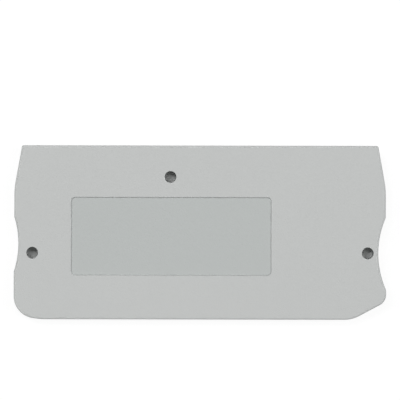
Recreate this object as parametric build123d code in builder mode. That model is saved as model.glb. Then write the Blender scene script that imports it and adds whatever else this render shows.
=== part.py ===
"""End cover for a row of rail-mounted terminal blocks, in millimetres.

One thin moulded plate closes the open side of the last block in the row. Its outer face carries a
shallow label field and three small blind holes. Its inner face is cored out behind a flat rim, and
has three pegs that press into the block's housing. The cover lies on its pegs with the outer face up:
X runs along the straight top edge, Y points towards that edge, and Z out of the outer face. The
origin is under the middle of the outline, at the level of the peg tips.
"""

from build123d import *
from math import radians, sqrt, tan
import os

os.makedirs("parts", exist_ok=True)

# Plate
cover_length = 60.5
cover_height = 28.25
cover_thickness = 2.2
front_edge_radius = 0.3

# Outline: leaning shoulders under the straight top edge, a bevel at the lower right, and a bottom
# edge that rises a little towards the round corner at the lower left
shoulder_inset = 0.08
shoulder_land = 4.53
shoulder_lean = 10.15
chamfer_run = 5.5
chamfer_rise = 2.95
top_corner_radius = 0.3
shoulder_radius = 12.0
chamfer_upper_radius = 1.9
chamfer_lower_radius = 5.0
foot_run = 4.35
foot_rise = 0.6
foot_radius = 3.6
foot_slope_radius = 9.0

# Shallow notches in the two ends, and the straight lands between them and the corners below
notch_radius = 14.5
notch_mouth_radius = 1.0
left_notch_depth = 0.74
left_foot_land = 3.52
right_notch_depth = 1.28
right_foot_land = 1.89

# Pegs, and the blind holes in the outer face that core out their roots
peg_radius = 1.4
peg_length = 2.6
peg_tip_chamfer = 0.35
peg_root_radius = 0.15
end_peg_inset = 3.0
top_peg_x = -4.81
top_peg_drop = 5.11
sink_radius = 0.95
sink_depth = 3.4
sink_draft = 0.5
sink_floor_radius = 0.1
sink_rim_radius = 0.06

# Label field in the outer face, placed by its margins to the four sides
label_left_margin = 9.3
label_right_margin = 18.64
label_top_margin = 8.38
label_bottom_margin = 7.12
label_depth = 0.26
label_draft = 22.0
label_corner_radius = 0.7
label_floor_radius = 0.08
label_rim_radius = 0.06

# Coring of the inner face: rim, ribs, peg bosses and the marks of the ejector pins
rim_width = 1.6
hollow_depth = 0.7
hollow_corner_radius = 0.3
hollow_floor_radius = 0.2
boss_wall = 1.2
rib_width = 0.9
cells_left_of_top_peg = 2
cells_right_of_top_peg = 3
ejector_radius = 1.0
ejector_depth = 0.1

# Levels and points that follow from the sizes above
mating_level = peg_length
front_level = mating_level + cover_thickness
hollow_level = mating_level + hollow_depth
label_level = front_level - label_depth
sink_level = front_level - sink_depth
top_y = cover_height / 2
bottom_y = -cover_height / 2
left_x = -cover_length / 2
right_x = cover_length / 2

left_notch_reach = sqrt(left_notch_depth * (2 * notch_radius - left_notch_depth))
right_notch_reach = sqrt(right_notch_depth * (2 * notch_radius - right_notch_depth))
left_notch_y = bottom_y + foot_rise + foot_radius + left_foot_land + left_notch_reach
right_notch_y = bottom_y + chamfer_rise + right_foot_land + right_notch_reach
left_notch = (left_x + left_notch_depth - notch_radius, left_notch_y)
right_notch = (right_x - right_notch_depth + notch_radius, right_notch_y)

shoulder_y = right_notch_y + right_notch_reach + shoulder_land
top_edge_inset = shoulder_inset + (top_y - shoulder_y) * tan(radians(shoulder_lean))
top_left = (left_x + top_edge_inset, top_y)
top_right = (right_x - top_edge_inset, top_y)
left_shoulder = (left_x + shoulder_inset, shoulder_y)
right_shoulder = (right_x - shoulder_inset, shoulder_y)
right_step = ((right_shoulder[0], right_notch_y), (right_x, right_notch_y))
chamfer_upper = (right_x, bottom_y + chamfer_rise)
chamfer_lower = (right_x - chamfer_run, bottom_y)
foot_slope_end = (left_x + foot_run, bottom_y)
left_foot = (left_x, bottom_y + foot_rise)
left_step = ((left_x, left_notch_y), (left_shoulder[0], left_notch_y))

# The end pegs are level with the middle of the right notch
end_peg_y = right_notch_y
left_peg = (left_x + end_peg_inset, end_peg_y)
right_peg = (right_x - end_peg_inset, end_peg_y)
top_peg = (top_peg_x, top_y - top_peg_drop)
pegs = (left_peg, top_peg, right_peg)
boss_radius = peg_radius + boss_wall
boss_reach = max(end_peg_inset, top_peg_drop)

label_length = cover_length - label_left_margin - label_right_margin
label_height = cover_height - label_top_margin - label_bottom_margin
label_x = left_x + label_left_margin + label_length / 2
label_y = bottom_y + label_bottom_margin + label_height / 2

# Cross ribs: one under the top peg, and the rest spaced evenly from it to the rim at each end
left_cell = (top_peg_x - left_x - rim_width) / cells_left_of_top_peg
right_cell = (right_x - rim_width - top_peg_x) / cells_right_of_top_peg
rib_x = [top_peg_x - left_cell * count for count in range(cells_left_of_top_peg)]
rib_x += [top_peg_x + right_cell * count for count in range(1, cells_right_of_top_peg)]
ejector_x = [top_peg_x - left_cell * (count + 0.5) for count in range(cells_left_of_top_peg)]
ejector_x += [top_peg_x + right_cell * (count + 0.5) for count in range(cells_right_of_top_peg)]
ejector_y = ((bottom_y + rim_width + end_peg_y) / 2, (end_peg_y + top_y - rim_width) / 2)


def floor_edges(level):
    """The edges of the cover's level faces at one height."""
    faces = end_cover.faces().filter_by(Axis.Z)
    return faces.filter_by_position(Axis.Z, level - 0.01, level + 0.01).edges()


def circles(radius, level):
    """The full circular edges of one radius at one height."""
    rings = end_cover.edges().filter_by(GeomType.CIRCLE).filter_by(lambda edge: edge.is_closed)
    rings = rings.filter_by_position(Axis.Z, level - 0.01, level + 0.01)
    return rings.filter_by(lambda edge: abs(edge.radius - radius) < 0.001)


# The outline: a polygon, less the two notches, with every corner rounded to its own radius.
# The steps between shoulder and foot lie inside the notches, so they are cut away.
with BuildSketch(Plane.XY.offset(mating_level)) as outline:
    with BuildLine():
        Polyline(
            top_left,
            top_right,
            right_shoulder,
            *right_step,
            chamfer_upper,
            chamfer_lower,
            foot_slope_end,
            left_foot,
            *left_step,
            left_shoulder,
            close=True,
        )
    make_face()
    with Locations(left_notch, right_notch):
        Circle(notch_radius, mode=Mode.SUBTRACT)
    notch_mouths = outline.edges().filter_by(GeomType.CIRCLE).vertices()
    fillet(notch_mouths, radius=notch_mouth_radius)
    for corner, radius in (
        (top_left, top_corner_radius),
        (top_right, top_corner_radius),
        (left_shoulder, shoulder_radius),
        (right_shoulder, shoulder_radius),
        (chamfer_upper, chamfer_upper_radius),
        (chamfer_lower, chamfer_lower_radius),
        (foot_slope_end, foot_slope_radius),
        (left_foot, foot_radius),
    ):
        nearest = outline.vertices().sort_by_distance((*corner, mating_level))[0]
        fillet(nearest, radius=radius)

# The hollows of the inner face: the outline inside its rim, less the ribs and the peg bosses.
# Each boss runs on into the nearest rim at its full width, so no thin gap is left beside it.
# Shrinking the hollows and growing them back rounds their corners.
with BuildSketch(Plane.XY.offset(mating_level)) as hollows:
    add(outline.sketch)
    offset(amount=-rim_width, kind=Kind.INTERSECTION)
    with Locations((0, end_peg_y)):
        Rectangle(cover_length, rib_width, mode=Mode.SUBTRACT)
    with Locations(*[(x, 0) for x in rib_x]):
        Rectangle(rib_width, cover_height, mode=Mode.SUBTRACT)
    with Locations(*pegs):
        Circle(boss_radius, mode=Mode.SUBTRACT)
    with Locations((left_peg[0] - boss_reach / 2, end_peg_y), (right_peg[0] + boss_reach / 2, end_peg_y)):
        Rectangle(boss_reach, 2 * boss_radius, mode=Mode.SUBTRACT)
    with Locations((top_peg_x, top_peg[1] + boss_reach / 2)):
        Rectangle(2 * boss_radius, boss_reach, mode=Mode.SUBTRACT)
    offset(amount=-hollow_corner_radius, kind=Kind.INTERSECTION)
    offset(amount=hollow_corner_radius, kind=Kind.ARC)

with BuildPart() as end_cover:
    # Plate, with a softened edge round the outer face
    add(outline.sketch)
    extrude(amount=cover_thickness)
    fillet(floor_edges(front_level), radius=front_edge_radius)

    # Coring of the inner face, with the faint round marks of the ejector pins
    add(hollows.sketch)
    extrude(amount=hollow_depth, mode=Mode.SUBTRACT)
    fillet(floor_edges(hollow_level), radius=hollow_floor_radius)
    with BuildSketch(Plane.XY.offset(hollow_level)):
        with Locations(*[(x, y) for x in ejector_x for y in ejector_y]):
            Circle(ejector_radius)
    extrude(amount=ejector_depth, mode=Mode.SUBTRACT)

    # Pegs, each with a lead-in at its tip and a rounded root
    with BuildSketch():
        with Locations(*pegs):
            Circle(peg_radius)
    extrude(amount=peg_length)
    chamfer(floor_edges(0), length=peg_tip_chamfer)
    fillet(circles(peg_radius, mating_level), radius=peg_root_radius)

    # Label field, its walls opening outwards, with a soft floor edge and rim
    with BuildSketch(Plane.XY.offset(front_level)):
        with Locations((label_x, label_y)):
            RectangleRounded(label_length, label_height, label_corner_radius)
    extrude(amount=-label_depth, taper=label_draft, mode=Mode.SUBTRACT)
    fillet(floor_edges(label_level), radius=label_floor_radius)
    front_face = end_cover.faces().sort_by(Axis.Z)[-1]
    fillet(front_face.inner_wires().edges(), radius=label_rim_radius)

    # Blind holes over the pegs
    with BuildSketch(Plane.XY.offset(front_level)):
        with Locations(*pegs):
            Circle(sink_radius)
    extrude(amount=-sink_depth, taper=sink_draft, mode=Mode.SUBTRACT)
    fillet(floor_edges(sink_level), radius=sink_floor_radius)
    fillet(circles(sink_radius, front_level), radius=sink_rim_radius)

end_cover.part.label = "end_cover"
export_step(end_cover.part, "parts/end_cover.step")
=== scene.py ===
# %% [markdown]
# # End cover of a rail terminal block
#
# The real object is one thin plate of light grey nylon, moulded in one shot. It closes the open side
# of the last block in a row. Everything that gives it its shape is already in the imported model, so
# this lesson is about the finish: how a matte moulded plastic is built from nodes, and how a flat
# part is lit and photographed from straight above.
#
# The cover lies on its three pegs, with the outer face up. Everything is in metres, so sizes that
# are given in millimetres are multiplied by `MM`.

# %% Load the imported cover
import math

import bpy
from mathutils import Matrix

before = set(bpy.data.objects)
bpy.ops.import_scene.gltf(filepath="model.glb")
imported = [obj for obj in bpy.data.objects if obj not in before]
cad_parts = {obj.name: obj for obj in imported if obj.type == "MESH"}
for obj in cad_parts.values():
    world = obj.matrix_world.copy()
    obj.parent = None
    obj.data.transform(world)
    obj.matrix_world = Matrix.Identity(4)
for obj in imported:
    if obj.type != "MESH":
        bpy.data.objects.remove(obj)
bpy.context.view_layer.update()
MM = 0.001
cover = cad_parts["end_cover"]

# %% [markdown]
# ## Shader maths as plain expressions
#
# A procedural finish is arithmetic on positions. Wiring each sum by hand hides the idea, so a small
# class wraps a socket and gives it the usual operators. An expression such as `1 - mask` then adds
# its own Math node. Every other node comes from one method, which takes the node's type, its
# settings and what goes into its sockets.


# %% A socket that can be added, multiplied and compared
class Value:
    """One output socket of a material, with the operators of ordinary arithmetic."""

    def __init__(self, tree, socket):
        self.tree = tree
        self.socket = socket

    def math(self, operation, *inputs):
        return self.tree.node("ShaderNodeMath", {"operation": operation}, dict(enumerate(inputs)))

    def __add__(self, other):
        return self.math("ADD", self, other)

    def __sub__(self, other):
        return self.math("SUBTRACT", self, other)

    def __rsub__(self, other):
        return self.math("SUBTRACT", other, self)

    def __mul__(self, other):
        return self.math("MULTIPLY", self, other)

    def __truediv__(self, other):
        return self.math("DIVIDE", self, other)

    def __rtruediv__(self, other):
        return self.math("DIVIDE", other, self)

    def __abs__(self):
        return self.math("ABSOLUTE", self)

    def __lt__(self, other):
        return self.math("LESS_THAN", self, other)

    def __gt__(self, other):
        return self.math("GREATER_THAN", self, other)

    __radd__ = __add__
    __rmul__ = __mul__


# %% A material that makes its own nodes
class Finish:
    """A node material, with one method that adds any node and returns its output."""

    def __init__(self, name):
        self.material = bpy.data.materials.new(name)
        self.material.use_nodes = True
        self.nodes = self.material.node_tree.nodes
        self.links = self.material.node_tree.links
        self.nodes.clear()

    def node(self, kind, settings=None, inputs=None, output=0):
        made = self.nodes.new(kind)
        for name, setting in (settings or {}).items():
            setattr(made, name, setting)
        for key, given in (inputs or {}).items():
            if isinstance(given, Value):
                self.links.new(given.socket, made.inputs[key])
            else:
                made.inputs[key].default_value = given
        return Value(self, made.outputs[output]) if made.outputs else None

    def mixed(self, factor, first, second):
        """A colour between two colours; the Mix node's colour sockets are numbers 6 and 7."""
        settings = {"data_type": "RGBA"}
        return self.node("ShaderNodeMix", settings, {0: factor, 6: first, 7: second}, output=2)

    def surface(self, shader):
        self.node("ShaderNodeOutputMaterial", inputs={"Surface": shader})


# %% [markdown]
# ## Where on the cover a point lies
#
# The finish differs between the outer face and the label field, and the field's floor carries a
# painted shade, so the material has to know where it is. Object coordinates are the imported cover's
# own metres, which lets the mask use the same sizes as the moulding: a point is in the field when it
# is inside its rectangle and at the level of its floor.

# %% The label field's place, in millimetres
FRONT_LEVEL = 4.8
LABEL_DEPTH = 0.26
LABEL_LEVEL = FRONT_LEVEL - LABEL_DEPTH
LABEL_CENTRE = (-4.67, -0.63)
LABEL_SIZE = (32.56, 12.75)
LEVEL_MARGIN = 0.02


def millimetres(finish):
    """The three coordinates of a point on the cover, in millimetres."""
    place = finish.node("ShaderNodeTexCoord", output="Object")
    return [
        finish.node("ShaderNodeSeparateXYZ", inputs={"Vector": place}, output=axis) / MM
        for axis in ("X", "Y", "Z")
    ]


def label_field_mask(axes):
    """1 on the floor of the label field and 0 elsewhere."""
    inside = abs(axes[2] - LABEL_LEVEL) < LEVEL_MARGIN
    for value, centre, size in zip(axes, LABEL_CENTRE, LABEL_SIZE):
        inside = inside * (abs(value - centre) < size / 2)
    return inside


print("label field, mm:", LABEL_SIZE, "at", LABEL_CENTRE, "level", round(LABEL_LEVEL, 2))

# %% [markdown]
# ## Light grey nylon with a fine eroded grain
#
# The floor of such a mould is spark-eroded, which leaves a fine grain on the outer face: dull, with
# no sharp highlight. Two noise textures make it. A fine one, a fifth of a millimetre across, is fed
# to a Bump node. A slow one varies the roughness and, very slightly, the colour, as the melt does
# where it cools unevenly. The noise keeps to the middle of its range, so the relief that it gives is
# only about a fifth of the height set on the Bump node.
#
# The rest of the mould is milled and stoned, to let the part slide out: the edge, the holes, the
# pegs and the whole inner face are smoother and a little glossier. The label field lies in between.
# Its floor is painted a darker grey than the face: a painted shade for the recess.

# %% The plastic
FACE_COLOUR = (0.550, 0.563, 0.556, 1)
# The label field's colour below is painted shade: a darker grey for the floor of the recess.
FIELD_PAINTED_SHADE_COLOUR = (0.473, 0.4955, 0.487, 1)
FLOW_COLOUR = (0.541, 0.554, 0.548, 1)
GRAIN_NOISE = {"Scale": 5200, "Detail": 3, "Roughness": 0.6}
FLOW_NOISE = {"Scale": 90, "Detail": 2, "Roughness": 0.5}
GRAIN_HEIGHT = 0.09 * MM
GRAIN_REACH = 0.35
FACE_ROUGHNESS = 0.5
STONED_ROUGHNESS = 0.38
FLOW_ROUGHNESS = 0.1
GRAIN_ROUGHNESS = 0.08
STONED_GRAIN = 0.15
FIELD_SMOOTHNESS = 0.3
NYLON_IOR = 1.5


def grey_nylon():
    """The cover's one plastic, with the finish of each part of its mould, and a painted shade on the
    floor of the label field.
    """
    finish = Finish("grey_plastic_moulded")
    place = finish.node("ShaderNodeTexCoord", output="Object")
    grain = finish.node("ShaderNodeTexNoise", inputs={"Vector": place, **GRAIN_NOISE})
    flow = finish.node("ShaderNodeTexNoise", inputs={"Vector": place, **FLOW_NOISE})
    colour = finish.mixed(flow, FACE_COLOUR, FLOW_COLOUR)
    axes = millimetres(finish)
    field = label_field_mask(axes)
    # Painted shade: the floor of the recessed label field gets the darker grey.
    colour = finish.mixed(field, colour, FIELD_PAINTED_SHADE_COLOUR)
    grained = (axes[2] > FRONT_LEVEL - GRAIN_REACH) - field * FIELD_SMOOTHNESS
    relief = grain * (STONED_GRAIN + grained * (1 - STONED_GRAIN))
    bump = finish.node("ShaderNodeBump", inputs={"Height": relief, "Distance": GRAIN_HEIGHT})
    roughness = STONED_ROUGHNESS + grained * (FACE_ROUGHNESS - STONED_ROUGHNESS)
    roughness = roughness + flow * FLOW_ROUGHNESS + grain * GRAIN_ROUGHNESS
    shader = finish.node(
        "ShaderNodeBsdfPrincipled",
        inputs={"Base Color": colour, "Roughness": roughness, "Normal": bump, "IOR": NYLON_IOR},
    )
    finish.surface(shader)
    return finish.material


plastic = grey_nylon()
for slot in cover.material_slots:
    slot.material = plastic
print("plastic nodes:", len(plastic.node_tree.nodes), "slots:", len(cover.material_slots))

# %% [markdown]
# ## A white table
#
# The cover lies on its three pegs. The photograph has a pure white ground, which here is a matte
# white sheet. Most of what the camera sees of it is an even glow, and the rest is its own lit
# surface; together they are just white. So the sheet stays white up to the edge of the picture, and
# the cover keeps a faint soft shadow. Reflections see the same glow, but matte surfaces do not, so
# it adds no light to the cover. The sheet lies a hundredth of a millimetre under the peg tips, so
# that no two faces share a plane.

# %% The sheet under the cover
TABLE_SIZE = 3.0
TABLE_DROP = 0.01 * MM
TABLE_COLOUR = (0.92, 0.92, 0.92, 1)
WHITE = (1, 1, 1, 1)
TABLE_GLOW = 0.84
GLOW_STRENGTH = 1.06
RAYS_THAT_SEE_THE_GLOW = ("Is Camera Ray", "Is Glossy Ray", "Is Transmission Ray")

bpy.ops.mesh.primitive_plane_add(size=TABLE_SIZE, location=(0, 0, -TABLE_DROP))
table = bpy.context.object
table.name = "white_table"
sheet = Finish("white_sheet")
matte = sheet.node("ShaderNodeBsdfDiffuse", inputs={"Color": TABLE_COLOUR})
glow = sheet.node("ShaderNodeEmission", inputs={"Color": WHITE, "Strength": GLOW_STRENGTH})
seen = sum(sheet.node("ShaderNodeLightPath", output=ray) for ray in RAYS_THAT_SEE_THE_GLOW)
sheet.surface(sheet.node("ShaderNodeMixShader", inputs={0: seen * TABLE_GLOW, 1: matte, 2: glow}))
table.data.materials.append(sheet.material)
print("table:", TABLE_SIZE, "m square")

# %% [markdown]
# ## Soft boxes overhead and on both sides
#
# The photograph tells where its lights stood. The holes are darkest under their upper rim and
# brightest at the lower right, so the light from overhead comes from behind and from the left. The
# label field has a dark line on its left and above it, a weaker one on its right, and almost none
# below, and the face is evenly bright, so there is light from both sides too. Light adds up: a
# render with one box at a time shows what each one gives, and the powers follow from comparing their
# sum with the photograph. A plain white world fills the shadows.

# %% Soft boxes and world: for each lamp its name, place and side in metres, and power in watts
SMALL_BOX = 0.1
LARGE_BOX = 0.25
LAMPS = (
    ("overhead_box", (0.0, 0.2, 0.9), SMALL_BOX, 0.69),
    ("overhead_left_box", (-0.2, 0.2, 0.9), SMALL_BOX, 1.09),
    ("left_box", (-0.58, 0.0, 0.69), LARGE_BOX, 1.32),
    ("rear_left_box", (-0.41, 0.41, 0.69), LARGE_BOX, 1.571),
    ("right_box", (0.58, 0.0, 0.69), LARGE_BOX, 1.94),
    ("high_right_box", (0.34, 0.0, 0.83), LARGE_BOX, 0.987),
)
WORLD_STRENGTH = 0.2


def soft_box(name, place, size, power):
    """A square lamp that points at the cover and is not seen itself."""
    lamp = bpy.data.lights.new(name, "AREA")
    lamp.size = size
    lamp.energy = power
    box = bpy.data.objects.new(name, lamp)
    bpy.context.scene.collection.objects.link(box)
    box.location = place
    box.rotation_mode = "QUATERNION"
    box.rotation_quaternion = (-box.location).to_track_quat("-Z", "Y")
    box.visible_camera = False
    print(name, "at", place, "with", power, "W")


for lamp_setting in LAMPS:
    soft_box(*lamp_setting)

world = bpy.data.worlds.new("studio")
world.use_nodes = True
background = world.node_tree.nodes["Background"]
background.inputs["Color"].default_value = WHITE
background.inputs["Strength"].default_value = WORLD_STRENGTH
bpy.context.scene.world = world
print("world strength", WORLD_STRENGTH)

# %% [markdown]
# ## The camera, straight above
#
# All three holes look the same in the photograph, although they lie far apart, so it was taken from
# far away: a very long lens stands for that. The picture's 400 pixels span 64.95 mm, and the
# outline's middle sits 32.5 pixels below the picture's middle. Instead of shifting the lens, the
# camera stands over the picture's middle. The cover is turned an eighth of a degree clockwise in the
# picture, so the camera is turned the other way.

# %% Camera
PICTURE_SPAN = 64.95 * MM
PICTURE_TURN = math.radians(0.125)
CAMERA_OVER = (-0.017 * MM, 5.284 * MM)
LENS = 500
SENSOR = 36
CLIP_NEAR = 0.01
CLIP_FAR = 10

camera_data = bpy.data.cameras.new("camera")
camera_data.lens = LENS
camera_data.sensor_width = SENSOR
camera = bpy.data.objects.new("camera", camera_data)
bpy.context.scene.collection.objects.link(camera)
distance = PICTURE_SPAN * LENS / SENSOR
camera.location = (*CAMERA_OVER, FRONT_LEVEL * MM + distance)
camera.rotation_euler = (0, 0, PICTURE_TURN)
camera_data.clip_start = CLIP_NEAR
camera_data.clip_end = CLIP_FAR
bpy.context.scene.camera = camera
bpy.context.scene.view_settings.view_transform = "Standard"
print("camera distance, mm:", round(distance / MM, 1))
